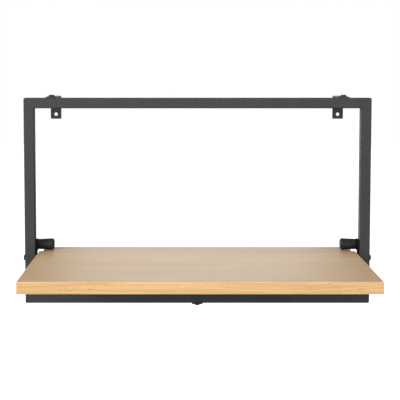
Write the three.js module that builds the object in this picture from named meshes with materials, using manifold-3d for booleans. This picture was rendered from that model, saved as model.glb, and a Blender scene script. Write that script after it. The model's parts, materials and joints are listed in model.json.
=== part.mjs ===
// A folding wall shelf: a rectangle of square steel tube stands off the wall on three bent strip
// brackets, and an oak board turns on two bolts between the uprights. Two rubber bumpers behind the
// pivots hold the board level, and hold it again when it is folded up into the rectangle.
// Millimetres. +X is to the right, the front faces -Y, +Z is up. The wall is the plane y = 0 and the
// underside of the tube rectangle is z = 0.
import * as THREE from "three";
import { mergeVertices } from "three/addons/utils/BufferGeometryUtils.js";
import Module from "manifold-3d";

const wasm = await Module();
wasm.setup();

// Driving dimensions: the tube rectangle
const FRAME_WIDTH = 600;
const FRAME_HEIGHT = 358;
const TUBE = 18;
const TUBE_WALL = 1.5;
const TUBE_CORNER = 1.6;
const STAND_OFF = 61; // wall to the middle of the tubes
const CLEAR = 0.3; // between pieces that touch
const SEAT = 0.2; // under a bolt's head
const INSET = 0.5; // plates and brackets stop short of the tube's faces
const SEAM = 0.15; // each side of a mitre

// The board and its pivots
const BOARD_WIDTH = 555;
const BOARD_THICKNESS = 19;
const BOARD_FORWARD = 239; // pivot to front edge
const BOARD_BACK = 49; // pivot to rear edge
const BAND = 1; // edge band thickness
const VENEER = 0.6;
const GLUE = 0.2; // board core to edge band or veneer
const LEAF_JOINTS = [-212, -142, -72]; // where the leaves of the top veneer meet, front to rear
const NOTCH_WIDTH = 6.5;
const NOTCH_DEPTH = 41;
const PIVOT_Z = 79;

// The bumpers, measured from the pivot axis
const BUMPER_BEHIND = 20.3;
const BUMPER_ABOVE = 20;
const BUMPER_ROOT_R = 9;
const BUMPER_END_R = 10.1;
const BUMPER_LENGTH = 27;
const PLATE_THICKNESS = 2;
const PLATE_ABOVE = 32; // pivot to the plate's top edge
const PLATE_BELOW = 9;
const PLATE_FOOT_R = 2; // its lower corners
const PLATE_HEAD_R = 3; // its upper front corner
const PLATE_RIM = 0.3; // the lobe's radius over the bumper's
const LOBE_TURN = 0.42 * Math.PI; // where the lobe's arc meets the straight rear edge
const BUMPER_EDGE_R = 2.5; // round its free end
const BUMPER_ROOT_CHAMFER = 0.6;
const CORE_R = 5;
const CORE_LENGTH = 20;
const CORE_TAP = 17; // depth of the thread in the core

// The wall brackets
const STRIP_WIDTH = 19;
const STRIP = 2; // thickness
const TAB_HEIGHT = 41.5; // outer height of the leg on the wall
const WALL_HOLE_UP = 8.2; // hole centre above the end of the leg
const WALL_HOLE_R = 3;
const BEND_R = 1.5; // inside the bend
const BRACKET_X = 252.3;

// Fasteners
const M6_R = 3;
const M5_R = 2.5;
const M6_HEAD_R = 5.25;
const M6_HEAD_H = 3.3;
const M5_HEAD_R = 4.75;
const M5_HEAD_H = 2.8;
const PIVOT_BOLT_LENGTH = 36;
const BUMPER_SCREW_LENGTH = 15;
const BRACKET_BOLT_LENGTH = 16;
const THREAD_CHAMFER = 0.6;
const HOLE_SLACK = 0.3; // a hole's radius over its bolt's
const PAST = 2; // how far a cutting tool runs past the face it cuts
const WASHER_R = 7;
const INSERT_LENGTH = 13;
const INSERT_R = 4.7;
const INSERT_TIP_R = 4;
const INSERT_COLLAR_R = 5.6;
const INSERT_COLLAR = 1; // thickness
const INSERT_BORE_R = 5; // in the board's core
const COLLAR_BORE_R = 6;
const RIVET_R = 4.5;
const RIVET_LENGTH = 13.5;
const RIVET_UPSET_R = 6.2;
const RIVET_UPSET = 2.5; // the upset collar's thickness
const RIVET_TAPER = 1.5; // and the cone behind it
const ROUND_SIDES = 24;

// Placing worked out from those
const HALF_WIDTH = FRAME_WIDTH / 2;
const INNER_X = HALF_WIDTH - TUBE;
const PLATE_OUTER_X = INNER_X - CLEAR;
const PLATE_INNER_X = PLATE_OUTER_X - PLATE_THICKNESS;
const BUMPER_Y = BUMPER_BEHIND - STAND_OFF;
const BUMPER_Z = PIVOT_Z + BUMPER_ABOVE;
const BOARD_HALF = BOARD_WIDTH / 2;
const BOARD_FRONT_Y = -STAND_OFF - BOARD_FORWARD;
const BOARD_REAR_Y = -STAND_OFF + BOARD_BACK;
const NOTCH_Y = BOARD_REAR_Y - NOTCH_DEPTH;
const LAYER_FRONT_Y = BOARD_FRONT_Y + BAND + GLUE;
const LAYER_REAR_Y = BOARD_REAR_Y - BAND - GLUE;
const RAIL_TOP_Z = FRAME_HEIGHT;

const steel = finish(0x3b3b3d, 0.55, 0.3);
const fastener = finish(0x232325, 0.4, 0.8);
const zinc = finish(0xa9a9a4, 0.35, 0.9);
const oak = finish(0xd9bd94, 0.5, 0);
const oakEdge = finish(0xdcb27c, 0.55, 0);
const rubber = finish(0x1d1d1e, 0.8, 0);
const nylon = finish(0x1b1b1b, 0.5, 0);

function finish(color, roughness, metalness) {
  return new THREE.MeshStandardMaterial({ color, roughness, metalness });
}

// Booleans: a geometry becomes a solid, and a solid becomes a geometry again.
function solid(geometry) {
  const bare = geometry.clone();
  bare.deleteAttribute("normal");
  bare.deleteAttribute("uv");
  const merged = mergeVertices(bare, 1e-4);
  const vertProperties = merged.attributes.position.array;
  const triVerts = new Uint32Array(merged.index.array);
  return new wasm.Manifold(new wasm.Mesh({ numProp: 3, vertProperties, triVerts }));
}

function geometryOf(made) {
  const mesh = made.getMesh();
  const geometry = new THREE.BufferGeometry();
  geometry.setAttribute("position", new THREE.BufferAttribute(mesh.vertProperties, 3));
  geometry.setIndex(new THREE.BufferAttribute(mesh.triVerts, 1));
  geometry.computeVertexNormals();
  return geometry;
}

function cut(geometry, tools) {
  return geometryOf(tools.reduce((left, tool) => left.subtract(solid(tool)), solid(geometry)));
}

// A round bar, or a hex one with six sides, from one point along +X, +Y or +Z.
function bar(radius, length, axis, x, y, z, sides = ROUND_SIDES) {
  const geometry = new THREE.CylinderGeometry(radius, radius, length, sides);
  if (axis === "x") geometry.rotateZ(-Math.PI / 2);
  if (axis === "z") geometry.rotateX(Math.PI / 2);
  const half = length / 2;
  const [dx, dy, dz] = { x: [half, 0, 0], y: [0, half, 0], z: [0, 0, half] }[axis];
  return geometry.translate(x + dx, y + dy, z + dz);
}

function box(low, high) {
  const size = high.map((value, i) => value - low[i]);
  const middle = high.map((value, i) => (value + low[i]) / 2);
  return new THREE.BoxGeometry(...size).translate(...middle);
}

// A square outline with rounded corners, centred, as points.
function roundedSquare(side, radius, steps) {
  const points = [];
  const reach = side / 2 - radius;
  for (let corner = 0; corner < 4; corner++) {
    const start = (corner * Math.PI) / 2;
    const cx = reach * Math.SQRT2 * Math.cos(start + Math.PI / 4);
    const cy = reach * Math.SQRT2 * Math.sin(start + Math.PI / 4);
    for (let step = 0; step <= steps; step++) {
      const angle = start + (step / steps) * (Math.PI / 2);
      points.push([cx + radius * Math.cos(angle), cy + radius * Math.sin(angle)]);
    }
  }
  return points;
}

// A hollow square tube along X, with both ends mitred at 45 degrees. Its long side faces +Z, and
// length is measured on that side.
function mitredTube(length) {
  const outer = roundedSquare(TUBE, TUBE_CORNER, 4);
  const bore = TUBE - 2 * TUBE_WALL;
  const shape = new THREE.Shape(outer.map(([u, v]) => new THREE.Vector2(u, v)));
  const inner = roundedSquare(bore, TUBE_CORNER / 2, 1).reverse();
  shape.holes.push(new THREE.Path(inner.map(([u, v]) => new THREE.Vector2(u, v))));
  const geometry = new THREE.ExtrudeGeometry(shape, { depth: 1, bevelEnabled: false, steps: 1 });
  const position = geometry.getAttribute("position");
  for (let i = 0; i < position.count; i++) {
    const [u, v] = [position.getX(i), position.getY(i)];
    const end = length / 2 - SEAM * Math.SQRT2 - TUBE / 2 + v;
    position.setXYZ(i, position.getZ(i) > 0.5 ? end : -end, u, v);
  }
  return geometry;
}

// The four sides of the tube rectangle, each with its long side facing out.
function topRail() {
  const tube = mitredTube(FRAME_WIDTH).translate(0, -STAND_OFF, FRAME_HEIGHT - TUBE / 2);
  const holes = [-1, 1].map((side) => rivetHole(side * BRACKET_X, FRAME_HEIGHT));
  return cut(tube, holes);
}

function bottomRail() {
  const tube = mitredTube(FRAME_WIDTH).rotateX(Math.PI).translate(0, -STAND_OFF, TUBE / 2);
  return cut(tube, [rivetHole(0, 0)]);
}

function upright(side) {
  const tube = mitredTube(FRAME_HEIGHT).rotateY(Math.PI / 2);
  tube.translate(HALF_WIDTH - TUBE / 2, -STAND_OFF, FRAME_HEIGHT / 2);
  const hole = bar(M6_R + HOLE_SLACK, TUBE + 2 * PAST, "x", INNER_X - PAST, -STAND_OFF, PIVOT_Z);
  return mirrored(cut(tube, [hole]), side);
}

// A hole in one wall of a rail, for a rivet nut.
function rivetHole(x, z) {
  return bar(RIVET_R + CLEAR, 3 * TUBE_WALL, "z", x, -STAND_OFF, z - 1.5 * TUBE_WALL);
}

// The left-hand pieces are the right-hand ones mirrored in the plane x = 0.
function mirrored(geometry, side) {
  if (side > 0) return geometry;
  const flipped = geometry.clone().scale(-1, 1, 1);
  const index = flipped.getIndex();
  for (let i = 0; i < index.count; i += 3) {
    const first = index.getX(i);
    index.setX(i, index.getX(i + 1));
    index.setX(i + 1, first);
  }
  return flipped;
}

// Turns an extrusion so that its outline's axes become y and z, and its depth runs along x from x0.
function sideways(x0) {
  return new THREE.Matrix4().set(0, 0, 1, x0, 1, 0, 0, 0, 0, 1, 0, 0, 0, 0, 0, 1);
}

// The plate on the upright's inner face: it takes the pivot bolt, and its rear lobe the bumper.
function stopPlate(side) {
  const front = -STAND_OFF - TUBE / 2 + INSET;
  const rear = -STAND_OFF + TUBE / 2 - INSET;
  const top = PIVOT_Z + PLATE_ABOVE;
  const low = PIVOT_Z - PLATE_BELOW + PLATE_FOOT_R;
  const lobe = BUMPER_ROOT_R + PLATE_RIM;
  const outline = new THREE.Shape();
  outline.moveTo(front, low);
  outline.absarc(front + PLATE_FOOT_R, low, PLATE_FOOT_R, Math.PI, 1.5 * Math.PI, false);
  outline.absarc(rear - PLATE_FOOT_R, low, PLATE_FOOT_R, 1.5 * Math.PI, 2 * Math.PI, false);
  outline.lineTo(rear, BUMPER_Z - lobe);
  outline.absarc(BUMPER_Y, BUMPER_Z, lobe, -Math.PI / 2, LOBE_TURN, false);
  outline.lineTo(rear, top);
  const headZ = top - PLATE_HEAD_R;
  outline.absarc(front + PLATE_HEAD_R, headZ, PLATE_HEAD_R, Math.PI / 2, Math.PI, false);
  outline.closePath();
  const plate = new THREE.ExtrudeGeometry(outline, {
    depth: PLATE_THICKNESS,
    bevelEnabled: false,
    curveSegments: 8,
  });
  plate.applyMatrix4(sideways(PLATE_INNER_X));
  const start = PLATE_INNER_X - PAST;
  const through = PLATE_THICKNESS + 2 * PAST;
  const pivot = bar(M6_R + HOLE_SLACK, through, "x", start, -STAND_OFF, PIVOT_Z);
  const screw = bar(M5_R + HOLE_SLACK, through, "x", start, BUMPER_Y, BUMPER_Z);
  return mirrored(cut(plate, [pivot, screw]), side);
}

// A solid of revolution about X from [x, radius] points that start and end on the axis or close.
function turned(profile, y, z) {
  const points = profile.map(([along, radius]) => new THREE.Vector2(radius, along));
  return new THREE.LatheGeometry(points, ROUND_SIDES).rotateZ(-Math.PI / 2).translate(0, y, z);
}

// The tapered rubber bumper, wider at its free end, with a blind bore for its steel core.
function bumper(side) {
  const root = PLATE_INNER_X - CLEAR;
  const end = root - BUMPER_LENGTH;
  const boreEnd = root - CORE_LENGTH - CLEAR;
  const boreR = CORE_R + CLEAR;
  const steps = 5;
  const profile = [[end, 0]];
  for (let step = 0; step <= steps; step++) {
    const turn = (step / steps) * (Math.PI / 2);
    const radius = BUMPER_END_R - BUMPER_EDGE_R + BUMPER_EDGE_R * Math.sin(turn);
    profile.push([end + BUMPER_EDGE_R - BUMPER_EDGE_R * Math.cos(turn), radius]);
  }
  profile.push([root - BUMPER_ROOT_CHAMFER, BUMPER_ROOT_R]);
  profile.push([root, BUMPER_ROOT_R - BUMPER_ROOT_CHAMFER]);
  profile.push([root, boreR], [boreEnd, boreR], [boreEnd, 0]);
  return mirrored(indexed(turned(profile, BUMPER_Y, BUMPER_Z)), side);
}

// The steel core moulded into the bumper, tapped for the bumper screw.
function bumperCore(side) {
  const root = PLATE_INNER_X - CLEAR;
  const core = bar(CORE_R, CORE_LENGTH, "x", root - CORE_LENGTH, BUMPER_Y, BUMPER_Z);
  const deep = CORE_TAP + PAST;
  const bore = bar(M5_R + HOLE_SLACK, deep, "x", root - CORE_TAP, BUMPER_Y, BUMPER_Z);
  return mirrored(cut(core, [bore]), side);
}

function indexed(geometry) {
  return geometryOf(solid(geometry));
}

// A button-head screw with a hex socket. It lies along X with its head towards +X, seated at x.
function buttonScrew(radius, headR, headH, length) {
  const rim = 0.35 * headH;
  const socketFloor = 0.38 * headH;
  const socketR = 0.78 * radius;
  const tip = radius - THREAD_CHAMFER;
  const profile = [[-length, 0], [-length, tip], [THREAD_CHAMFER - length, radius]];
  profile.push([0, radius], [0, headR], [rim, headR]);
  const steps = 5;
  for (let step = 1; step < steps; step++) {
    const turn = (step / steps) * (Math.PI / 2);
    profile.push([rim + (headH - rim) * Math.sin(turn), headR * Math.cos(turn)]);
  }
  profile.push([headH, 0]);
  const socket = bar(socketR, headH, "x", socketFloor, 0, 0, 6);
  return cut(turned(profile, 0, 0), [socket]);
}

function pivotBolt(side) {
  const bolt = buttonScrew(M6_R, M6_HEAD_R, M6_HEAD_H, PIVOT_BOLT_LENGTH);
  return mirrored(bolt.translate(HALF_WIDTH + SEAT, -STAND_OFF, PIVOT_Z), side);
}

function bumperScrew(side) {
  const screw = buttonScrew(M5_R, M5_HEAD_R, M5_HEAD_H, BUMPER_SCREW_LENGTH);
  return mirrored(screw.translate(PLATE_OUTER_X + SEAT, BUMPER_Y, BUMPER_Z), side);
}

// A ring about the X axis.
function ring(outerR, boreR, x0, x1) {
  const profile = [[x0, boreR], [x0, outerR], [x1, outerR], [x1, boreR], [x0, boreR]];
  return indexed(turned(profile, 0, 0));
}

function pivotWasher(side) {
  const washer = ring(WASHER_R, M6_R + HOLE_SLACK, BOARD_HALF + GLUE, PLATE_INNER_X - GLUE);
  return mirrored(washer.translate(0, -STAND_OFF, PIVOT_Z), side);
}

// The threaded insert in the board's side edge, with a collar at its outer end.
function pivotInsert(side) {
  const outer = BOARD_HALF - BAND - GLUE - SEAT;
  const bore = M6_R + HOLE_SLACK;
  const profile = [
    [outer - INSERT_LENGTH, bore],
    [outer - INSERT_LENGTH, INSERT_TIP_R],
    [outer - INSERT_LENGTH + 1, INSERT_R],
    [outer - INSERT_COLLAR, INSERT_R],
    [outer - INSERT_COLLAR, INSERT_COLLAR_R],
    [outer, INSERT_COLLAR_R],
    [outer, bore],
    [outer - INSERT_LENGTH, bore],
  ];
  return mirrored(indexed(turned(profile, -STAND_OFF, PIVOT_Z)), side);
}

// A layer of the board inside its edge bands, between two heights.
function layer(y0, y1, z0, z1) {
  const side = BOARD_HALF - BAND - GLUE;
  return box([-side, y0, z0], [side, y1, z1]);
}

// What the notches at the rear corners take from every layer.
function notches() {
  const inner = BOARD_HALF - NOTCH_WIDTH;
  const right = box([inner, NOTCH_Y, 0], [BOARD_HALF, 0, 2 * PIVOT_Z]);
  return [right, mirrored(right, -1)];
}

// The board core, with a bore for each pivot insert.
function boardCore() {
  const half = BOARD_THICKNESS / 2 - VENEER - GLUE;
  const core = layer(LAYER_FRONT_Y, LAYER_REAR_Y, PIVOT_Z - half, PIVOT_Z + half);
  const side = BOARD_HALF - BAND - GLUE;
  const deep = INSERT_LENGTH + PAST;
  const recess = INSERT_COLLAR + INSET;
  const bore = bar(INSERT_BORE_R, deep + PAST, "x", side - deep, -STAND_OFF, PIVOT_Z);
  const collar = bar(COLLAR_BORE_R, 2 * PAST, "x", side - recess, -STAND_OFF, PIVOT_Z);
  return cut(core, [...notches(), bore, collar, mirrored(bore, -1), mirrored(collar, -1)]);
}

// One leaf of the top veneer, numbered from the front.
function topVeneer(leaf) {
  const high = PIVOT_Z + BOARD_THICKNESS / 2;
  const ends = [LAYER_FRONT_Y - GLUE / 2, ...LEAF_JOINTS, LAYER_REAR_Y + GLUE / 2];
  const sheet = layer(ends[leaf - 1] + GLUE / 2, ends[leaf] - GLUE / 2, high - VENEER, high);
  return leaf === ends.length - 1 ? cut(sheet, notches()) : sheet;
}

function bottomVeneer() {
  const low = PIVOT_Z - BOARD_THICKNESS / 2;
  return cut(layer(LAYER_FRONT_Y, LAYER_REAR_Y, low, low + VENEER), notches());
}

function frontBand() {
  return bandBox(-BOARD_HALF, BOARD_HALF, BOARD_FRONT_Y, BOARD_FRONT_Y + BAND);
}

function rearBand() {
  const half = BOARD_HALF - NOTCH_WIDTH;
  return bandBox(-half, half, BOARD_REAR_Y - BAND, BOARD_REAR_Y);
}

function sideBand(side) {
  const band = bandBox(BOARD_HALF - BAND, BOARD_HALF, BOARD_FRONT_Y + BAND + GLUE, NOTCH_Y);
  const hole = bar(M6_R + INSET, 2 * PAST, "x", BOARD_HALF - PAST, -STAND_OFF, PIVOT_Z);
  return mirrored(cut(band, [hole]), side);
}

function bandBox(x0, x1, y0, y1) {
  const half = BOARD_THICKNESS / 2;
  return box([x0, y0, PIVOT_Z - half], [x1, y1, PIVOT_Z + half]);
}

// A strip bent to an L: one leg lies on a rail, the other lies on the wall. flip -1 is for the one
// under the bottom rail, whose wall leg points up.
function wallBracket(x, railZ, flip) {
  const near = CLEAR;
  const far = CLEAR + STRIP;
  const front = -STAND_OFF - TUBE / 2 + INSET;
  const outerR = BEND_R + STRIP;
  const drop = far - TAB_HEIGHT;
  const outline = new THREE.Shape();
  outline.moveTo(front, near);
  outline.lineTo(-outerR, near);
  outline.absarc(-outerR, near - BEND_R, BEND_R, Math.PI / 2, 0, true);
  outline.lineTo(-STRIP, drop);
  outline.lineTo(0, drop);
  outline.lineTo(0, near - BEND_R);
  outline.absarc(-outerR, near - BEND_R, outerR, 0, Math.PI / 2, false);
  outline.lineTo(front, far);
  outline.closePath();
  const strip = new THREE.ExtrudeGeometry(outline, {
    depth: STRIP_WIDTH,
    bevelEnabled: false,
    curveSegments: 6,
  });
  strip.applyMatrix4(sideways(-STRIP_WIDTH / 2));
  const boltHole = bar(M6_R + HOLE_SLACK, 3 * STRIP, "z", 0, -STAND_OFF, -STRIP);
  const wallHole = bar(WALL_HOLE_R, 3 * STRIP, "y", 0, -2 * STRIP, drop + WALL_HOLE_UP);
  const made = cut(strip, [boltHole, wallHole]);
  if (flip < 0) made.rotateY(Math.PI);
  return made.translate(x, 0, railZ);
}

// The bolt through a bracket into its rail, head outwards.
function bracketBolt(x, railZ, flip) {
  const bolt = buttonScrew(M6_R, M6_HEAD_R, M6_HEAD_H, BRACKET_BOLT_LENGTH);
  bolt.rotateY(-Math.PI / 2);
  if (flip < 0) bolt.rotateX(Math.PI);
  return bolt.translate(x, -STAND_OFF, railZ + flip * (CLEAR + STRIP + SEAT));
}

// The rivet nut set flush in the rail's wall, with its upset collar inside the tube.
function rivetNut(x, railZ, flip) {
  const inside = -TUBE_WALL - SEAT;
  const collar = inside - RIVET_UPSET;
  const bore = M6_R + HOLE_SLACK;
  const profile = [
    [-RIVET_LENGTH, bore],
    [-RIVET_LENGTH, RIVET_R],
    [collar - RIVET_TAPER, RIVET_R],
    [collar, RIVET_UPSET_R],
    [inside, RIVET_UPSET_R],
    [inside, RIVET_R],
    [0, RIVET_R],
    [0, bore],
    [-RIVET_LENGTH, bore],
  ];
  const nut = indexed(turned(profile, 0, 0)).rotateY(-Math.PI / 2);
  if (flip < 0) nut.rotateX(Math.PI);
  return nut.translate(x, -STAND_OFF, railZ);
}

const shelf = new THREE.Group();

function add(name, geometry, material) {
  const mesh = new THREE.Mesh(geometry, material);
  mesh.name = name;
  shelf.add(mesh);
}

add("top_rail", topRail(), steel);
add("bottom_rail", bottomRail(), steel);
for (const [hand, side] of [["left", -1], ["right", 1]]) {
  add(`${hand}_upright`, upright(side), steel);
  add(`${hand}_stop_plate`, stopPlate(side), steel);
  add(`${hand}_bumper`, bumper(side), rubber);
  add(`${hand}_bumper_core`, bumperCore(side), zinc);
  add(`${hand}_bumper_screw`, bumperScrew(side), fastener);
  add(`${hand}_pivot_bolt`, pivotBolt(side), fastener);
  add(`${hand}_pivot_washer`, pivotWasher(side), nylon);
  add(`${hand}_pivot_insert`, pivotInsert(side), zinc);
  add(`${hand}_edge_band`, sideBand(side), oakEdge);
}
add("shelf_board", boardCore(), oak);
for (let leaf = 1; leaf <= LEAF_JOINTS.length + 1; leaf++) {
  add(`top_veneer_${leaf}`, topVeneer(leaf), oak);
}
add("bottom_veneer", bottomVeneer(), oak);
add("front_edge_band", frontBand(), oakEdge);
add("rear_edge_band", rearBand(), oakEdge);
const brackets = [
  ["top_left", -BRACKET_X, RAIL_TOP_Z, 1],
  ["top_right", BRACKET_X, RAIL_TOP_Z, 1],
  ["bottom", 0, 0, -1],
];
for (const [place, x, railZ, flip] of brackets) {
  add(`${place}_bracket`, wallBracket(x, railZ, flip), steel);
  add(`${place}_bracket_bolt`, bracketBolt(x, railZ, flip), fastener);
  add(`${place}_rivet_nut`, rivetNut(x, railZ, flip), zinc);
}

export default shelf;
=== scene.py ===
import json
import math
from collections import namedtuple

import bmesh
import bpy
from mathutils import Matrix, Vector


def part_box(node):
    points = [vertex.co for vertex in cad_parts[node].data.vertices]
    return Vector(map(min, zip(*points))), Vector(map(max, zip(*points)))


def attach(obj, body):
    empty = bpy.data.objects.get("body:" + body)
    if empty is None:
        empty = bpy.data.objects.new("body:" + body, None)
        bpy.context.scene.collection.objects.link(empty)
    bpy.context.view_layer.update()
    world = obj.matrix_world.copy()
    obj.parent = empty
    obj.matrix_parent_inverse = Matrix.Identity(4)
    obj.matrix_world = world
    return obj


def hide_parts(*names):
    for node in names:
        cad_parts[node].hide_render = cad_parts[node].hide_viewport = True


# A folding wall shelf in a pale studio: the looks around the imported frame. Metres. +X is to the
# right, the front faces -Y, +Z is up, the wall is y = 0.
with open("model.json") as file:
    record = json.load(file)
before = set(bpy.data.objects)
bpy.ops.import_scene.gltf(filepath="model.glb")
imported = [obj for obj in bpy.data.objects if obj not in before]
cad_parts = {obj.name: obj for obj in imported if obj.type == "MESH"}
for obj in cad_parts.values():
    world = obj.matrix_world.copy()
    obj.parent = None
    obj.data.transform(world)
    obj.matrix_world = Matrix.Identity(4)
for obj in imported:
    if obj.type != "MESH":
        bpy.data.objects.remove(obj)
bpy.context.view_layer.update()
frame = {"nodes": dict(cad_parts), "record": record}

MM = 0.001
BODY_OF = {
    node: body
    for body, nodes in frame["record"]["behaviour"]["bodies"].items()
    for node in nodes
}
QUARTER = math.pi / 2
HANDS = (("left", -1), ("right", 1))

# Places read from the frame
TOP_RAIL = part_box("top_rail")
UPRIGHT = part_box("right_upright")
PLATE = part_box("right_stop_plate")
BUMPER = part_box("right_bumper")
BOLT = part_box("right_pivot_bolt")
FRONT_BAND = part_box("front_edge_band")
REAR_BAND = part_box("rear_edge_band")
SIDE_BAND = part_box("right_edge_band")

TUBE = TOP_RAIL[1].z - TOP_RAIL[0].z
TUBE_Y = (TOP_RAIL[0].y + TOP_RAIL[1].y) / 2
FRAME_HALF = UPRIGHT[1].x
FRAME_TOP = TOP_RAIL[1].z
INNER_X = FRAME_HALF - TUBE
PIVOT = Vector((0, (BOLT[0].y + BOLT[1].y) / 2, (BOLT[0].z + BOLT[1].z) / 2))
BUMPER_Y = (BUMPER[0].y + BUMPER[1].y) / 2
BUMPER_Z = (BUMPER[0].z + BUMPER[1].z) / 2

# Each bracket's name, which way up it is, and the height of the rail's face that it lies on
BRACKETS = (("top_left", 1, FRAME_TOP), ("top_right", 1, FRAME_TOP), ("bottom", -1, 0))

# Sizes that the CAD's pieces have too
TUBE_WALL = 1.5 * MM
TUBE_CORNER = 1.6 * MM
PLATE_THICKNESS = 2 * MM
PLATE_FOOT_R = 2 * MM
PLATE_HEAD_R = 3 * MM
LOBE_TURN = 0.84 * QUARTER  # where the lobe's arc meets the straight rear edge
BUMPER_ROOT_R = 9 * MM
CORE_HOLE_R = 5.3 * MM  # the bumper's blind bore round its steel core
CORE_HOLE_DEPTH = 20.3 * MM
STRIP = 2 * MM
BEND_R = 1.5 * MM
WALL_HOLE_R = 3 * MM
WALL_HOLE_UP = 8.2 * MM  # from the end of the leg
NUT_HOLE_R = 4.8 * MM  # in the rails, round a rivet nut
M6_HOLE_R = 3.3 * MM
M5_HOLE_R = 2.8 * MM
WASHER_R = 7 * MM
PIVOT_BOLT_LENGTH = 36 * MM
BUMPER_SCREW_LENGTH = 15 * MM
BRACKET_BOLT_LENGTH = 16 * MM

# Small shapes that only the eye needs
WELD = 1.2 * MM  # fillet in the rectangle's inner corners
GROUND = 2.2 * MM  # its outer corners, ground round
PLATE_EDGE = 0.35 * MM
STRIP_EDGE = 0.4 * MM
BAND_EDGE = 0.9 * MM
INSERT_HOLE_R = 5.6 * MM  # in the board's core, close round the insert's collar
INSERT_HOLE_DEPTH = 15 * MM
BAND_HOLE_R = 3.5 * MM  # in a side band, for the pivot bolt
HAIR = 0.02 * MM  # between pieces that touch
ROUND = 48  # sides of a turned piece
NUT_HOLE_SIDES = 24
BOLT_HOLE_SIDES = 32
MERGE = 1e-7  # points closer than this are one
SAME = 1e-6  # places closer than this are level

# A button-head screw: shank and head radius, head height, half its socket's width, thread pitch
Screw = namedtuple("Screw", "radius head_r head_h flat pitch")
M6 = Screw(3 * MM, 5.25 * MM, 3.28 * MM, 2 * MM, 1 * MM)
M5 = Screw(2.5 * MM, 4.75 * MM, 2.8 * MM, 1.5 * MM, 0.8 * MM)


# ---------------------------------------------------------------------------- mesh helpers
def add_object(name, bm):
    """A new object from a bmesh, with its faces pointing out."""
    bmesh.ops.remove_doubles(bm, verts=bm.verts, dist=MERGE)
    bmesh.ops.recalc_face_normals(bm, faces=bm.faces)
    mesh = bpy.data.meshes.new(name)
    bm.to_mesh(mesh)
    bm.free()
    obj = bpy.data.objects.new(name, mesh)
    bpy.context.scene.collection.objects.link(obj)
    return obj


def settle(obj):
    """Applies the modifiers to the mesh."""
    graph = bpy.context.evaluated_depsgraph_get()
    made = bpy.data.meshes.new_from_object(obj.evaluated_get(graph))
    made.name = obj.name
    obj.modifiers.clear()
    obj.data = made
    return obj


def cut(obj, tools):
    """Takes each tool away from obj."""
    for tool in tools:
        step = obj.modifiers.new("cut", "BOOLEAN")
        step.operation = "DIFFERENCE"
        step.solver = "EXACT"
        step.object = tool
    settle(obj)
    for tool in tools:
        bpy.data.objects.remove(tool)
    return obj


def soften(obj, width, segments=3, angle=38):
    """Rounds the sharp edges."""
    step = obj.modifiers.new("soften", "BEVEL")
    step.width = width
    step.segments = segments
    step.limit_method = "ANGLE"
    step.angle_limit = math.radians(angle)
    step.use_clamp_overlap = True
    return settle(obj)


def smooth(obj, angle=40):
    """Smooth shading that keeps flat faces flat."""
    obj.data.polygons.foreach_set("use_smooth", [True] * len(obj.data.polygons))
    obj.data.set_sharp_from_angle(angle=math.radians(angle))
    step = obj.modifiers.new("weights", "WEIGHTED_NORMAL")
    step.keep_sharp = True
    step.weight = 90
    settle(obj)


def mark_edges(obj):
    """Stores, face by face, how far a face leans from the object's flats: 1 on a rounded edge."""
    level, fade = 0.995, 0.1  # flat up to 6 degrees of lean, and how soon past that it counts as edge
    layer = obj.data.attributes.new("edge", "FLOAT", "FACE")
    leans = []
    for face in obj.data.polygons:
        flat = max(abs(part) for part in face.normal)
        leans.append(min(1.0, max(0.0, (level - flat) / fade)))
    layer.data.foreach_set("value", leans)


def dress(obj, slot, material, *nodes):
    """Finishes a piece: it stands for its CAD nodes, rides on their body and takes their finish."""
    smooth(obj)
    mark_edges(obj)
    obj.data.materials.clear()
    obj.data.materials.append(material)
    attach(obj, BODY_OF[nodes[0]])
    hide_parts(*nodes)


def mirror(obj, side):
    """The left-hand pieces are the right-hand ones mirrored in the plane x = 0."""
    if side < 0:
        obj.data.transform(Matrix.Scale(-1, 4, (1, 0, 0)))
        obj.data.flip_normals()
    return obj


def arc(centre, radius, start, end, steps):
    """Points along an arc, both ends included."""
    turns = [start + (end - start) * step / steps for step in range(steps + 1)]
    return [(centre[0] + radius * math.cos(t), centre[1] + radius * math.sin(t)) for t in turns]


def rounded(corners, radii, steps=6):
    """An outline with each corner, in turn, rounded to its radius."""
    outline = []
    count = len(corners)
    for i, radius in enumerate(radii):
        here = Vector(corners[i])
        back = (Vector(corners[i - 1]) - here).normalized()
        ahead = (Vector(corners[(i + 1) % count]) - here).normalized()
        half = back.angle(ahead) / 2
        reach = radius / math.tan(half)
        middle = here + (back + ahead).normalized() * (radius / math.sin(half))
        first = here + back * reach - middle
        last = here + ahead * reach - middle
        sweep = first.angle_signed(last)
        start = math.atan2(first.y, first.x)
        outline += arc(middle, radius, start, start - sweep, steps)
    return outline


def slab(name, outline, low, high, place=None):
    """An outline in local x and y, given thickness along local z, then placed."""
    bm = bmesh.new()
    base = bm.faces.new([bm.verts.new((x, y, low)) for x, y in outline])
    raised = bmesh.ops.extrude_face_region(bm, geom=[base])["geom"]
    top = [part for part in raised if isinstance(part, bmesh.types.BMVert)]
    bmesh.ops.translate(bm, verts=top, vec=(0, 0, high - low))
    if place is not None:
        bm.transform(place)
    return add_object(name, bm)


def block(name, low, high):
    return slab(name, [(low.x, low.y), (high.x, low.y), (high.x, high.y), (low.x, high.y)],
                low.z, high.z)


# Local x and y become the world's y and z, and local z becomes the world's x.
SIDEWAYS = Matrix(((0, 0, 1, 0), (1, 0, 0, 0), (0, 1, 0, 0), (0, 0, 0, 1)))


def pin(radius, low, high, place, sides=ROUND):
    """A round cutting tool along local z between low and high."""
    outline = arc((0, 0), radius, 0, 2 * math.pi * (1 - 1 / sides), steps=sides - 1)
    return slab("hole", outline, low, high, place)


def hexagon(angle, flat):
    """Distance from a hexagon's middle to its side, at an angle."""
    return flat / math.cos(angle % (math.pi / 3) - math.pi / 6)


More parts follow.
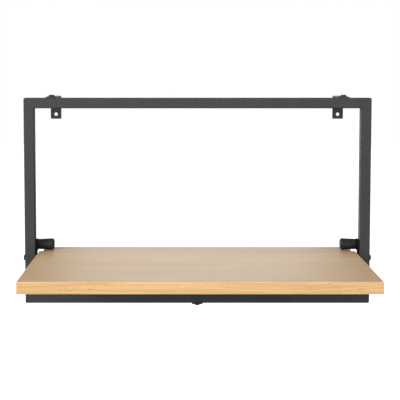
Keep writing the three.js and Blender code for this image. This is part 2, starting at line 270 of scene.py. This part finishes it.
def turned(name, rings, place, closed=False):
    """A turned piece about local x. Each ring is (along, radius) or (along, half flats, "hex")."""
    bm = bmesh.new()
    made = []
    for along, radius, *shape in rings:
        if radius == 0:
            made.append([bm.verts.new((along, 0, 0))])
            continue
        ring = []
        for i in range(ROUND):
            angle = 2 * math.pi * i / ROUND
            reach = hexagon(angle, radius) if shape else radius
            ring.append(bm.verts.new((along, reach * math.cos(angle), reach * math.sin(angle))))
        made.append(ring)
    pairs = list(zip(made, made[1:]))
    if closed:
        pairs.append((made[-1], made[0]))
    for first, second in pairs:
        for i in range(ROUND):
            j = (i + 1) % ROUND
            if len(first) == 1:
                bm.faces.new((first[0], second[j], second[i]))
            elif len(second) == 1:
                bm.faces.new((first[i], first[j], second[0]))
            else:
                bm.faces.new((first[i], first[j], second[j], second[i]))
    bm.transform(place)
    return add_object(name, bm)


def at(x, y, z):
    return Matrix.Translation((x, y, z))


# ---------------------------------------------------------------------------- the tube rectangle
def rounded_square(side, radius, steps):
    corner = side / 2
    square = [(corner, corner), (-corner, corner), (-corner, -corner), (corner, -corner)]
    return rounded(square, [radius] * 4, steps)


def mitre_sections(length):
    """The sections at a tube's end, from square-on round to the mitre. Each is where the tube's
    inner face is and the step from there to its outer face, in along and outward."""
    full = TUBE + WELD
    hub = Vector((length / 2 - full, -WELD))
    reach = full - GROUND
    tangent = math.atan(reach / full)
    middle = Vector((reach, reach))
    straight_steps, round_steps = 3, 4
    turns = [tangent * i / straight_steps for i in range(straight_steps)]
    turns += [
        tangent + (math.pi / 4 - tangent) * i / round_steps
        for i in range(round_steps + 1)
    ]
    for turn in turns:
        way = Vector((math.sin(turn), math.cos(turn)))
        outer = full / math.cos(turn)
        if turn > tangent:
            along = middle.dot(way)
            outer = along + math.sqrt(along**2 - middle.length_squared + GROUND**2)
        yield hub + way * WELD, way * (outer - WELD)


def tube(name, length, foot, along, outward):
    """A mitred square tube: foot is the middle of its inner face."""
    corner_steps = 8
    outer = rounded_square(TUBE, TUBE_CORNER, corner_steps)
    bore = rounded_square(TUBE - 2 * TUBE_WALL, TUBE_CORNER / 2, corner_steps)
    ends = list(mitre_sections(length))
    sections = [(start, step, -1) for start, step in reversed(ends)]
    sections += [(start, step, 1) for start, step in ends]
    depth = along.cross(outward)
    bm = bmesh.new()
    walls = []
    for start, step, way in sections:
        wall = []
        for profile in (outer, bore):
            ring = []
            for v, u in profile:
                point = start + step * (0.5 + v / TUBE)
                spot = foot + along * (way * point.x) + outward * point.y + depth * u
                ring.append(bm.verts.new(spot))
            wall.append(ring)
        walls.append(wall)
    count = len(outer)
    for (outer_a, bore_a), (outer_b, bore_b) in zip(walls, walls[1:]):
        for i in range(count):
            j = (i + 1) % count
            bm.faces.new((outer_a[i], outer_a[j], outer_b[j], outer_b[i]))
            bm.faces.new((bore_a[j], bore_a[i], bore_b[i], bore_b[j]))
    for rim, hole in (walls[0], walls[-1]):
        for i in range(count):
            j = (i + 1) % count
            bm.faces.new((rim[i], rim[j], hole[j], hole[i]))
    return add_object(name, bm)


def rail_hole(x, z):
    deep = 2 * TUBE_WALL
    return pin(NUT_HOLE_R, -deep, deep, at(x, TUBE_Y, z), NUT_HOLE_SIDES)


def build_frame(paint):
    right, up = Vector((1, 0, 0)), Vector((0, 0, 1))
    bracket_x = sum(corner.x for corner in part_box("top_right_bracket")) / 2
    top = tube("top_rail_tube", 2 * FRAME_HALF, Vector((0, TUBE_Y, FRAME_TOP - TUBE)), right, up)
    cut(top, [rail_hole(side * bracket_x, FRAME_TOP) for side in (-1, 1)])
    dress(top, "frame_steel", paint, "top_rail")
    low = tube("bottom_rail_tube", 2 * FRAME_HALF, Vector((0, TUBE_Y, TUBE)), -right, -up)
    cut(low, [rail_hole(0, 0)])
    dress(low, "frame_steel", paint, "bottom_rail")
    for hand, side in HANDS:
        foot = Vector((side * INNER_X, TUBE_Y, FRAME_TOP / 2))
        post = tube(f"{hand}_upright_tube", FRAME_TOP, foot, -up * side, right * side)
        turn = Matrix.Rotation(QUARTER, 4, "Y")
        middle = at(foot.x, PIVOT.y, PIVOT.z) @ turn
        hole = pin(M6_HOLE_R, -TUBE, TUBE, middle, BOLT_HOLE_SIDES)
        dress(cut(post, [hole]), "frame_steel", paint, f"{hand}_upright")


# ---------------------------------------------------------------------------- stops
def build_stop_plates(paint):
    front, rear = PLATE[0].y, TUBE_Y + (TUBE_Y - PLATE[0].y)
    lobe = PLATE[1].y - BUMPER_Y
    low, top = PLATE[0].z, PLATE[1].z
    foot_r, head_r = PLATE_FOOT_R, PLATE_HEAD_R
    nick = 1 * MM
    outline = arc((front + foot_r, low + foot_r), foot_r, 2 * QUARTER, 3 * QUARTER, steps=5)
    outline += arc((rear - foot_r, low + foot_r), foot_r, 3 * QUARTER, 4 * QUARTER, steps=5)
    outline += [(rear, BUMPER_Z - lobe - nick), (rear + nick, BUMPER_Z - lobe)]
    outline += arc((BUMPER_Y, BUMPER_Z), lobe, -QUARTER, LOBE_TURN, steps=20)
    outline += [(rear, top)]
    outline += arc((front + head_r, top - head_r), head_r, QUARTER, 2 * QUARTER, steps=6)
    inner = INNER_X - PLATE_THICKNESS
    start, end = inner - nick, INNER_X + nick
    for hand, side in HANDS:
        plate = slab(f"{hand}_stop_plate_steel", outline, inner, INNER_X - HAIR, SIDEWAYS)
        tools = [
            pin(M6_HOLE_R, start, end, at(0, PIVOT.y, PIVOT.z) @ SIDEWAYS),
            pin(M5_HOLE_R, start, end, at(0, BUMPER_Y, BUMPER_Z) @ SIDEWAYS),
        ]
        soften(cut(plate, tools), PLATE_EDGE)
        dress(mirror(plate, side), "plate_steel", paint, f"{hand}_stop_plate")


def build_bumpers(rubber):
    """Tapered rubber stops: widest at the round free end, with the gate mark of the mould in its
    middle, and a blind bore for the steel core."""
    end = BUMPER[0].x
    root = INNER_X - PLATE_THICKNESS - HAIR
    widest = BUMPER[1].z - BUMPER_Z
    edge, bevel, lip = 3.2 * MM, 0.6 * MM, 0.2 * MM
    gate_r, gate_depth = 1.2 * MM, 0.4 * MM
    core_end = root - CORE_HOLE_DEPTH
    steps = 10
    rings = [(end + gate_depth, 0), (end + gate_depth, gate_r)]
    rings += [(end + gate_depth / 4, gate_r + bevel / 2), (end, gate_r + bevel)]
    for step in range(steps + 1):
        turn = QUARTER * step / steps
        radius = widest - edge + edge * math.sin(turn)
        rings.append((end + edge - edge * math.cos(turn), radius))
    rings += [(root - bevel, BUMPER_ROOT_R), (root - lip, BUMPER_ROOT_R - lip)]
    rings += [(root, BUMPER_ROOT_R - bevel)]
    rings += [(root, CORE_HOLE_R), (core_end, CORE_HOLE_R), (core_end, 0)]
    for hand, side in HANDS:
        piece = turned(f"{hand}_bumper_rubber", rings, at(0, BUMPER_Y, BUMPER_Z))
        dress(mirror(piece, side), "bumper_rubber", rubber, f"{hand}_bumper")


# ---------------------------------------------------------------------------- fasteners
def button_head(screw, length):
    """Rings of a button-head screw seated at 0 with its head towards +x: hex socket, domed head,
    flange edge, and a grooved thread."""
    radius, head_h, flat = screw.radius, screw.head_h, screw.flat
    crown = 1.3 * flat  # radius of the flat round the socket
    rim = 0.22 * head_h
    floor = 0.36 * head_h
    edge = 0.2 * MM
    rings = [(floor - 0.25 * MM, 0), (floor, 0.96 * flat, "hex"), (floor + 0.1 * MM, flat, "hex")]
    rings += [(head_h - edge, flat, "hex"), (head_h, crown)]
    steps = 7
    for step in range(1, steps + 1):
        turn = QUARTER * (1 - step / steps)
        reach = crown + (screw.head_r - crown) * math.cos(turn)
        rings.append((rim + (head_h - rim) * math.sin(turn), reach))
    rings += [(edge, screw.head_r), (0, screw.head_r - edge), (0, radius + edge), (-edge, radius)]
    groove = 0.55 * screw.pitch
    place = length - 4 * radius if length > 10 * radius else 1.5 * radius
    while place < length - screw.pitch:
        rings += [(-place, radius), (-place - screw.pitch / 2, radius - groove)]
        place += screw.pitch
    rings += [(-place, radius), (-length, radius - groove), (-length, 0)]
    return rings


def build_fasteners(oxide):
    for hand, side in HANDS:
        rings = button_head(M6, PIVOT_BOLT_LENGTH)
        bolt = turned(f"{hand}_pivot_bolt_m6", rings, at(FRAME_HALF + HAIR, PIVOT.y, PIVOT.z))
        dress(mirror(bolt, side), "fastener_black", oxide, f"{hand}_pivot_bolt")
        rings = button_head(M5, BUMPER_SCREW_LENGTH)
        screw = turned(f"{hand}_bumper_screw_m5", rings, at(INNER_X + HAIR, BUMPER_Y, BUMPER_Z))
        dress(mirror(screw, side), "fastener_black", oxide, f"{hand}_bumper_screw")
    rings = button_head(M6, BRACKET_BOLT_LENGTH)
    for place, flip, rail in BRACKETS:
        low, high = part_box(f"{place}_bracket")
        seat = at((low.x + high.x) / 2, TUBE_Y, rail + flip * (STRIP + HAIR))
        turn = Matrix.Rotation(-QUARTER * flip, 4, "Y")
        bolt = turned(f"{place}_bracket_bolt_m6", rings, seat @ turn)
        dress(bolt, "fastener_black", oxide, f"{place}_bracket_bolt")


def build_washers(nylon):
    edge = 0.25 * MM
    x0, x1 = FRONT_BAND[1].x + HAIR, INNER_X - PLATE_THICKNESS - HAIR
    rings = [(x0, M6_HOLE_R), (x0, WASHER_R - edge), (x0 + edge, WASHER_R)]
    rings += [(x1 - edge, WASHER_R), (x1, WASHER_R - edge), (x1, M6_HOLE_R)]
    for hand, side in HANDS:
        washer = turned(f"{hand}_pivot_washer_nylon", rings, at(0, PIVOT.y, PIVOT.z), closed=True)
        dress(mirror(washer, side), "washer_nylon", nylon, f"{hand}_pivot_washer")


# ---------------------------------------------------------------------------- wall brackets
def bend(obj, start, front):
    """Bends a flat strip that runs along y from 0 at its front end, downwards past start."""
    middle_r = BEND_R + STRIP / 2
    length = middle_r * QUARTER
    steps = 10
    bm = bmesh.new()
    bm.from_mesh(obj.data)
    for step in range(steps + 1):
        spot = (0, start + length * step / steps, 0)
        every = bm.verts[:] + bm.edges[:] + bm.faces[:]
        bmesh.ops.bisect_plane(bm, geom=every, plane_co=spot, plane_no=(0, 1, 0), dist=MERGE)
    for vert in bm.verts:
        x, along, height = vert.co
        past = along - start
        turn = min(max(past / middle_r, 0), QUARTER)
        radius = BEND_R + height
        y = front + start + radius * math.sin(turn) + min(past, 0)
        z = radius * math.cos(turn) - BEND_R - max(past - length, 0)
        vert.co = (x, y, z)
    bm.to_mesh(obj.data)
    bm.free()


def build_brackets(paint):
    rail_corner, wall_corner = 1.2 * MM, 1.8 * MM
    outer_r = BEND_R + STRIP
    for place, flip, rail in BRACKETS:
        low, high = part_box(f"{place}_bracket")
        front, half = low.y, (high.x - low.x) / 2
        start = -front - outer_r
        arc_length = (BEND_R + STRIP / 2) * QUARTER
        tab = (high.z - low.z) - outer_r
        total = start + arc_length + tab
        corners = [(-half, 0), (half, 0), (half, total), (-half, total)]
        outline = rounded(corners, [rail_corner, rail_corner, wall_corner, wall_corner])
        strip = slab(f"{place}_bracket_strip", outline, 0, STRIP)
        bolt = pin(M6_HOLE_R, -STRIP, 2 * STRIP, at(0, TUBE_Y - front, 0))
        wall = pin(WALL_HOLE_R, -STRIP, 2 * STRIP, at(0, total - WALL_HOLE_UP, 0))
        soften(cut(strip, [bolt, wall]), STRIP_EDGE)
        bend(strip, start, front)
        turn = Matrix.Identity(4) if flip > 0 else Matrix.Rotation(2 * QUARTER, 4, "Y")
        strip.data.transform(at((low.x + high.x) / 2, 0, rail) @ turn)
        dress(strip, "bracket_steel", paint, f"{place}_bracket")


# ---------------------------------------------------------------------------- the board
def notched(half, front, rear):
    """The board's outline with a notch at each rear corner for the bumper."""
    notch_y, notch_x = SIDE_BAND[1].y, REAR_BAND[1].x
    right = [(half, front), (half, notch_y), (notch_x, notch_y), (notch_x, rear)]
    left = [(-x, y) for x, y in reversed(right)]
    return right + left


def plain(half, front, rear):
    return [(half, front), (half, rear), (-half, rear), (-half, front)]


def band(name, low, high, rounded_at):
    """An edge band, with each edge that lies wholly where rounded_at says rounded off."""
    obj = block(name, low, high)
    bm = bmesh.new()
    bm.from_mesh(obj.data)
    edges = [edge for edge in bm.edges if all(rounded_at(vert.co) for vert in edge.verts)]
    bmesh.ops.bevel(bm, geom=edges, offset=BAND_EDGE, offset_type="OFFSET", segments=5,
                    profile=0.5, affect="EDGES", clamp_overlap=True)
    bm.to_mesh(obj.data)
    bm.free()
    return obj


def build_board(core, leaves, under, front_oak, side_oak):
    half = FRONT_BAND[1].x
    inner = SIDE_BAND[0].x - HAIR
    front, rear = FRONT_BAND[1].y + HAIR, REAR_BAND[0].y - HAIR
    low, top = FRONT_BAND[0].z, FRONT_BAND[1].z
    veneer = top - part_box("top_veneer_1")[0].z
    board = slab("shelf_board_core", notched(inner, front, rear),
                 low + veneer + HAIR, top - veneer - HAIR)
    pivot = at(0, PIVOT.y, PIVOT.z) @ SIDEWAYS
    for side in (-1, 1):
        x0, x1 = sorted((side * (inner - INSERT_HOLE_DEPTH), side * (inner + MM)))
        cut(board, [pin(INSERT_HOLE_R, x0, x1, pivot)])
    dress(board, "oak_board", core, "shelf_board")
    reach, sheet_edge = 4 * HAIR, 2 * HAIR  # how far a leaf runs past its CAD box, and its rounding
    for leaf, oak in enumerate(leaves, 1):
        node = f"top_veneer_{leaf}"
        first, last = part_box(node)
        y0 = front if leaf == 1 else first.y - reach
        y1 = rear if leaf == len(leaves) else last.y + reach
        shape = notched if leaf == len(leaves) else plain
        sheet = slab(f"{node}_leaf", shape(inner, y0, y1), top - veneer, top)
        dress(soften(sheet, sheet_edge, 1), "oak_board", oak, node)
    sheet = slab("bottom_veneer_leaf", notched(inner, front, rear), low, low + veneer)
    dress(soften(sheet, sheet_edge, 1), "oak_board", under, "bottom_veneer")

    def outside(glued_y):
        """Says whether a place is off the face that is glued to the board."""
        return lambda spot: abs(spot.y - glued_y) > SAME

    strip = band("front_edge_band_strip", *FRONT_BAND, outside(FRONT_BAND[1].y))
    dress(strip, "oak_edge", front_oak, "front_edge_band")
    strip = band("rear_edge_band_strip", *REAR_BAND, outside(REAR_BAND[0].y))
    dress(strip, "oak_edge", front_oak, "rear_edge_band")
    past = 3 * MM
    for hand, side in HANDS:
        start = Vector((SIDE_BAND[0].x, FRONT_BAND[1].y + HAIR, low))
        strip = band(f"{hand}_edge_band_strip", start, SIDE_BAND[1],
                     lambda spot: spot.x > half - SAME)
        cut(strip, [pin(BAND_HOLE_R, half - past, half + past, pivot, BOLT_HOLE_SIDES)])
        dress(mirror(strip, side), "oak_edge", side_oak, f"{hand}_edge_band")


# ---------------------------------------------------------------------------- materials
class Shader:
    """A Principled material built node by node. Values that never vary sit on the sockets."""

    def __init__(self, name, **sockets):
        self.material = bpy.data.materials.new(name)
        self.material.use_nodes = True
        self.tree = self.material.node_tree
        self.skin = self.tree.nodes["Principled BSDF"]
        for socket, value in sockets.items():
            self.set(self.skin, socket.replace("_", " "), value)

    def set(self, node, socket, value):
        if isinstance(value, bpy.types.NodeSocket):
            self.tree.links.new(value, node.inputs[socket])
        elif isinstance(value, tuple) and len(value) == 3 and node.inputs[socket].type == "RGBA":
            node.inputs[socket].default_value = (*value, 1)
        else:
            node.inputs[socket].default_value = value

    def node(self, kind, out=0, props=(), **sockets):
        made = self.tree.nodes.new(kind)
        for key, value in dict(props).items():
            setattr(made, key, value)
        for socket, value in sockets.items():
            self.set(made, socket.replace("_", " "), value)
        return made.outputs[out]

    def place(self, scale, location=(0, 0, 0)):
        """The object's own coordinates, scaled along each axis and shifted."""
        spot = self.node("ShaderNodeTexCoord", out="Object")
        return self.node("ShaderNodeMapping", Vector=spot, Scale=scale, Location=location)

    def noise(self, scale, detail=3.0, roughness=0.5, distortion=0.0, location=(0, 0, 0)):
        scale = scale if isinstance(scale, tuple) else (scale,) * 3
        return self.node("ShaderNodeTexNoise", Vector=self.place(scale, location), Scale=1.0,
                         Detail=detail, Roughness=roughness, Distortion=distortion)

    def fit(self, value, low, high, to_low=0.0, to_high=1.0):
        """Maps low..high smoothly to to_low..to_high, and holds the ends outside that range."""
        return self.node("ShaderNodeMapRange", props={"interpolation_type": "SMOOTHSTEP"},
                         Value=value, From_Min=low, From_Max=high, To_Min=to_low, To_Max=to_high)

    def math(self, operation, first, second=0.0):
        made = self.tree.nodes.new("ShaderNodeMath")
        made.operation = operation
        self.set(made, 0, first)
        self.set(made, 1, second)
        return made.outputs[0]

    def mix(self, factor, first, second):
        made = self.tree.nodes.new("ShaderNodeMix")
        made.data_type = "RGBA"
        colours = [socket for socket in made.inputs if socket.type == "RGBA"]
        self.set(made, "Factor", factor)
        for socket, value in zip(colours, (first, second)):
            if isinstance(value, bpy.types.NodeSocket):
                self.tree.links.new(value, socket)
            else:
                socket.default_value = (*value, 1)
        return next(socket for socket in made.outputs if socket.type == "RGBA")

    def edge(self):
        """1 on the rounded edges that mark_edges found."""
        return self.node("ShaderNodeAttribute", out="Fac", props={"attribute_name": "edge"})

    def bump(self, height, strength, distance, below=None):
        made = self.tree.nodes.new("ShaderNodeBump")
        self.set(made, "Height", height)
        made.inputs["Strength"].default_value = strength
        made.inputs["Distance"].default_value = distance
        if below is not None:
            self.tree.links.new(below, made.inputs["Normal"])
        return made.outputs[0]

    def finish(self, colour=None, roughness=None, normal=None):
        for socket, value in (("Base Color", colour), ("Roughness", roughness), ("Normal", normal)):
            if value is not None:
                self.set(self.skin, socket, value)
        return self.material


def powder_coat(name, dark, pale, worn, roughness, specular):
    """Powder coat: fine orange peel, faint cloudiness, and paint rubbed thin on the edges."""
    coat = Shader(name, Metallic=0.0, Specular_IOR_Level=specular)
    cloud = coat.noise(26.0, detail=4.0, roughness=0.6)
    peel = coat.noise(950.0, detail=2.0)
    speckle = coat.noise(3200.0, detail=1.0)
    colour = coat.mix(coat.fit(cloud, 0.3, 0.7), dark, pale)
    colour = coat.mix(coat.fit(speckle, 0.62, 0.85, 0.0, 0.08), colour, worn)
    patches = coat.fit(coat.noise(40.0, detail=4.0, roughness=0.6), 0.42, 0.7)
    rub = coat.math("MULTIPLY", coat.edge(), patches)
    colour = coat.mix(coat.math("MULTIPLY", rub, 0.28), colour, worn)
    rough = coat.fit(cloud, 0.3, 0.7, roughness - 0.05, roughness + 0.06)
    normal = coat.bump(peel, 0.12, 0.06 * MM)
    normal = coat.bump(speckle, 0.08, 0.02 * MM, normal)
    return coat.finish(colour, rough, normal)


def oxide_metal(name):
    """Black-oxide steel: satin, with a little bright metal rubbed through."""
    steel = Shader(name, Metallic=0.75)
    mottle = steel.noise(420.0, detail=4.0, roughness=0.6)
    colour = steel.mix(steel.fit(mottle, 0.35, 0.7), (0.022, 0.022, 0.024), (0.05, 0.05, 0.053))
    scuff = steel.fit(steel.noise((300.0, 2200.0, 2200.0), detail=2.0), 0.62, 0.8, 0.0, 0.5)
    colour = steel.mix(scuff, colour, (0.13, 0.13, 0.13))
    rough = steel.fit(mottle, 0.3, 0.7, 0.3, 0.46)
    return steel.finish(colour, rough, steel.bump(mottle, 0.2, 0.03 * MM))


def zinc_metal(name):
    """Zinc plate with a soft spangle."""
    plate = Shader(name, Metallic=1.0)
    spangle = plate.noise(700.0, detail=3.0, roughness=0.6)
    colour = plate.mix(plate.fit(spangle, 0.3, 0.7), (0.44, 0.44, 0.42), (0.62, 0.62, 0.6))
    rough = plate.fit(spangle, 0.3, 0.7, 0.26, 0.42)
    return plate.finish(colour, rough, plate.bump(spangle, 0.15, 0.02 * MM))


def moulded_rubber(name):
    """Moulded rubber: fine spark-eroded grain, a little bloom, flow marks round the axis."""
    rubber = Shader(name, Metallic=0.0, Specular_IOR_Level=0.3)
    bloom = rubber.noise(90.0, detail=4.0, roughness=0.6)
    grain = rubber.noise(1500.0, detail=3.0)
    flow = rubber.noise((900.0, 60.0, 60.0), detail=2.0)
    colour = rubber.mix(rubber.fit(bloom, 0.3, 0.72), (0.008, 0.008, 0.0085), (0.016, 0.016, 0.0165))
    rough = rubber.fit(bloom, 0.3, 0.7, 0.5, 0.64)
    normal = rubber.bump(grain, 0.3, 0.06 * MM)
    normal = rubber.bump(flow, 0.12, 0.1 * MM, normal)
    return rubber.finish(colour, rough, normal)


def moulded_nylon(name):
    """Black nylon washer."""
    nylon = Shader(name, Metallic=0.0, Specular_IOR_Level=0.4)
    grain = nylon.noise(1100.0, detail=2.0)
    colour = nylon.mix(nylon.fit(grain, 0.3, 0.7), (0.014, 0.014, 0.014), (0.024, 0.024, 0.024))
    rough = nylon.fit(grain, 0.3, 0.7, 0.42, 0.55)
    return nylon.finish(colour, rough, nylon.bump(grain, 0.2, 0.04 * MM))


def oak(name, light, dark, pore, seed, along="x", roughness=0.36, flecks=0.5, contrast=1.0):
    """Lacquered oak: growth rings that wander, streaks, fine fibres, short dark pores, darker flecks
    in patches and pale rays, all drawn out along the grain. Contrast scales how strongly they show."""
    wood = Shader(name, Metallic=0.0, Specular_IOR_Level=0.38)
    shift = (3.7 * seed, 5.3 * seed, 1.9 * seed)  # so that no two pieces show the same grain

    def grain(long, cross, **settings):
        scale = (long, cross, cross) if along == "x" else (cross, long, cross)
        return wood.noise(scale, location=shift, **settings)

    figure = grain(2.6, 34.0, detail=2.0, roughness=0.45, distortion=0.7)
    # The figure is folded over and over, and each fold is a ring
    rings = wood.math("PINGPONG", wood.math("MULTIPLY", figure, 7.0), 0.5)
    rings = wood.fit(rings, 0.08, 0.5)
    fibre = grain(16.0, 1100.0, detail=4.0, roughness=0.62)
    streak = grain(4.5, 190.0, detail=3.0, roughness=0.55)
    cloud = grain(3.0, 14.0, detail=2.0)
    colour = wood.mix(wood.fit(cloud, 0.3, 0.7, 0.1 * contrast, 0.45 * contrast), light, dark)
    colour = wood.mix(wood.math("MULTIPLY", rings, 0.42 * contrast), colour, dark)
    colour = wood.mix(wood.fit(streak, 0.4, 0.72, 0.0, 0.36 * contrast), colour, dark)
    colour = wood.mix(wood.fit(fibre, 0.45, 0.75, 0.0, 0.3 * contrast), colour, pore)
    pores = wood.fit(grain(75.0, 2100.0, detail=2.0), 0.66, 0.76)
    colour = wood.mix(wood.math("MULTIPLY", pores, 0.4 * contrast), colour, pore)
    spots = wood.fit(grain(170.0, 700.0, detail=1.0, roughness=0.4, distortion=0.6), 0.67, 0.73)
    spots = wood.math("MULTIPLY", spots, wood.fit(grain(7.0, 40.0, detail=1.0), 0.36, 0.52))
    colour = wood.mix(wood.math("MULTIPLY", spots, flecks), colour, pore)
    rays = wood.fit(grain(40.0, 420.0, detail=1.0, roughness=0.4, distortion=0.2), 0.68, 0.78)
    colour = wood.mix(wood.math("MULTIPLY", rays, 0.25 * contrast), colour, light)
    # Painted highlight: the rounded edges are painted paler, standing for the light that they catch.
    colour = wood.mix(wood.math("MULTIPLY", wood.edge(), 0.55), colour, light)
    rough = wood.fit(streak, 0.3, 0.7, roughness - 0.03, roughness + 0.04)
    normal = wood.bump(fibre, 0.07, 0.05 * MM)
    normal = wood.bump(wood.math("SUBTRACT", 1.0, pores), 0.14, 0.05 * MM, normal)
    return wood.finish(colour, rough, normal)


def core_board(name):
    """The board's core: pressed chips of wood, seen only in the notches and bores."""
    core = Shader(name, Metallic=0.0, Specular_IOR_Level=0.3)
    chip = core.node("ShaderNodeTexVoronoi", Vector=core.place((260.0, 420.0, 900.0)), Scale=1.0)
    colour = core.mix(core.fit(chip, 0.1, 0.7), (0.5, 0.36, 0.2), (0.3, 0.2, 0.1))
    rough = core.fit(chip, 0.0, 0.8, 0.6, 0.8)
    return core.finish(colour, rough, core.bump(chip, 0.4, 0.2 * MM))


# ---------------------------------------------------------------------------- camera, light, floor
def build_camera():
    """The photograph's view: a long lens a little left of centre and above the top rail, looking
    slightly down, with the lens shifted as the framing needs."""
    data = bpy.data.cameras.new("camera")
    data.sensor_width = 36
    data.lens = 88.4
    data.shift_x = 0.05
    data.shift_y = -0.17
    camera = bpy.data.objects.new("camera", data)
    bpy.context.scene.collection.objects.link(camera)
    eye = at(-30.2 * MM, -1760 * MM, 413.2 * MM)
    pitch = 0.0673
    camera.matrix_world = eye @ Matrix.Rotation(QUARTER - pitch, 4, "X")
    bpy.context.scene.camera = camera


def soft_light(name, spot, target, wide, tall, power):
    """A rectangular lamp of so many watts that faces its target and isn't seen itself."""
    data = bpy.data.lights.new(name, "AREA")
    data.shape = "RECTANGLE"
    data.size = wide
    data.size_y = tall
    data.energy = power
    lamp = bpy.data.objects.new(name, data)
    bpy.context.scene.collection.objects.link(lamp)
    lamp.visible_camera = False
    lamp.location = spot
    lamp.rotation_euler = (Vector(target) - Vector(spot)).to_track_quat("-Z", "Y").to_euler()


def build_sky():
    """Soft light from all round, dim below and brighter above."""
    world = bpy.data.worlds.new("studio")
    bpy.context.scene.world = world
    world.use_nodes = True
    tree = world.node_tree
    way = tree.nodes.new("ShaderNodeTexCoord").outputs["Generated"]
    split = tree.nodes.new("ShaderNodeSeparateXYZ")
    tree.links.new(way, split.inputs[0])
    rise = tree.nodes.new("ShaderNodeMapRange")
    for socket, value in (("From Min", -0.45), ("From Max", 0.25), ("To Min", 0.22), ("To Max", 0.36)):
        rise.inputs[socket].default_value = value
    tree.links.new(split.outputs["Z"], rise.inputs["Value"])
    tree.links.new(rise.outputs["Result"], tree.nodes["Background"].inputs["Color"])


def build_lights():
    front, board, rear = (0, -0.15, 0.15), (0, -0.18, 0.09), (0, -0.1, 0.1)
    right_post = (0.28, -0.07, 0.2)
    soft_light("key", (-3.0, -3.0, 1.7), front, 2.0, 2.0, 148)
    soft_light("fill", (0.4, -4.0, 0.6), front, 4.4, 2.0, 84)
    soft_light("top", (0.05, -0.2, 1.25), board, 0.7, 0.5, 3.6)
    soft_light("behind", (0.03, 1.8, 0.6), rear, 0.95, 0.9, 4.2)
    soft_light("rim", (-1.6, 2.4, -0.22), right_post, 0.9, 0.3, 16)


def build_backdrop():
    """A pale floor and a white dome. Both are seen, but neither lights the object."""
    floor_half, floor_z, dome_r = 9, -0.45, 12
    bm = bmesh.new()
    bmesh.ops.create_grid(bm, x_segments=2, y_segments=2, size=floor_half)
    floor = add_object("floor", bm)
    floor.location = (0, 0, floor_z)
    floor.visible_diffuse = False
    floor.visible_glossy = False
    paper = Shader("pale_paper", Roughness=0.9, Emission_Strength=0.85)
    paper.set(paper.skin, "Emission Color", (1.0, 1.0, 1.0))
    tint = paper.noise(1.3)
    floor.data.materials.append(paper.finish(paper.mix(tint, (0.86, 0.86, 0.86), (0.9, 0.9, 0.9))))

    bm = bmesh.new()
    bmesh.ops.create_uvsphere(bm, u_segments=48, v_segments=24, radius=dome_r)
    dome = add_object("backdrop", bm)
    glow = Shader("white_backdrop", Roughness=1.0, Emission_Strength=1.0)
    glow.set(glow.skin, "Emission Color", (1.0, 1.0, 1.0))
    glow.set(glow.skin, "Base Color", (0.0, 0.0, 0.0))
    dome.data.materials.append(glow.material)
    dome.visible_diffuse = False
    dome.visible_glossy = False
    dome.visible_transmission = False
    dome.visible_shadow = False


def build_studio():
    view = bpy.context.scene.view_settings
    view.view_transform = "Standard"
    view.look = "None"
    build_sky()
    build_lights()
    build_backdrop()


def build_object():
    steel = powder_coat("charcoal_powder_coat", dark=(0.0255, 0.0255, 0.026),
                        pale=(0.029, 0.029, 0.0295), worn=(0.08, 0.08, 0.08),
                        roughness=0.55, specular=0.4)
    # The brackets take the frame's charcoal painted darker: painted shade for the rails' shadow that
    # falls on them.
    strip = powder_coat("charcoal_strip_coat_painted_shade", dark=(0.017, 0.017, 0.0175),
                        pale=(0.023, 0.023, 0.0235), worn=(0.07, 0.07, 0.07),
                        roughness=0.48, specular=0.4)
    black = powder_coat("black_plate_coat", dark=(0.003, 0.003, 0.0035),
                        pale=(0.005, 0.005, 0.0055), worn=(0.03, 0.03, 0.03),
                        roughness=0.7, specular=0.12)
    oxide = oxide_metal("black_oxide")
    zinc = zinc_metal("zinc_plate")
    rubber = moulded_rubber("bumper_rubber_moulded")
    nylon = moulded_nylon("washer_nylon_moulded")
    tints = [((0.55, 0.38, 0.215), (0.44, 0.29, 0.155)), ((0.555, 0.39, 0.22), (0.45, 0.3, 0.16)),
             ((0.585, 0.405, 0.225), (0.47, 0.31, 0.165)), ((0.55, 0.38, 0.21), (0.44, 0.29, 0.15))]
    top_pore, under_pore = (0.36, 0.21, 0.1), (0.3, 0.17, 0.08)
    leaves = [
        oak(f"oak_leaf_{i}", light, dark, top_pore, i, roughness=0.42, flecks=0.35, contrast=0.55)
        for i, (light, dark) in enumerate(tints, 1)
    ]
    under = oak("oak_under", *tints[1], under_pore, seed=9)
    # The edge bands are the top's oak painted lighter and warmer: painted light, standing for the
    # lamps' strong light on the board's front edge.
    edge_look_painted_light = {
        "light": (0.81, 0.525, 0.255), "dark": (0.62, 0.36, 0.145), "pore": (0.3, 0.14, 0.05),
        "roughness": 0.42, "flecks": 0.8, "contrast": 1.4,
    }
    front_oak = oak("oak_edge_long", seed=12, **edge_look_painted_light)
    side_oak = oak("oak_edge_side", seed=6, along="y", **edge_look_painted_light)
    build_frame(steel)
    build_stop_plates(black)
    build_bumpers(rubber)
    build_fasteners(oxide)
    build_washers(nylon)
    build_brackets(strip)
    build_board(core_board("board_core"), leaves, under, front_oak, side_oak)
    # The bumper cores, inserts and rivet nuts stay as the CAD's own solids
    for node, obj in frame["nodes"].items():
        if node.endswith(("_core", "_insert", "_nut")):
            obj.data.materials.clear()
            obj.data.materials.append(zinc)


build_camera()
build_studio()
build_object()
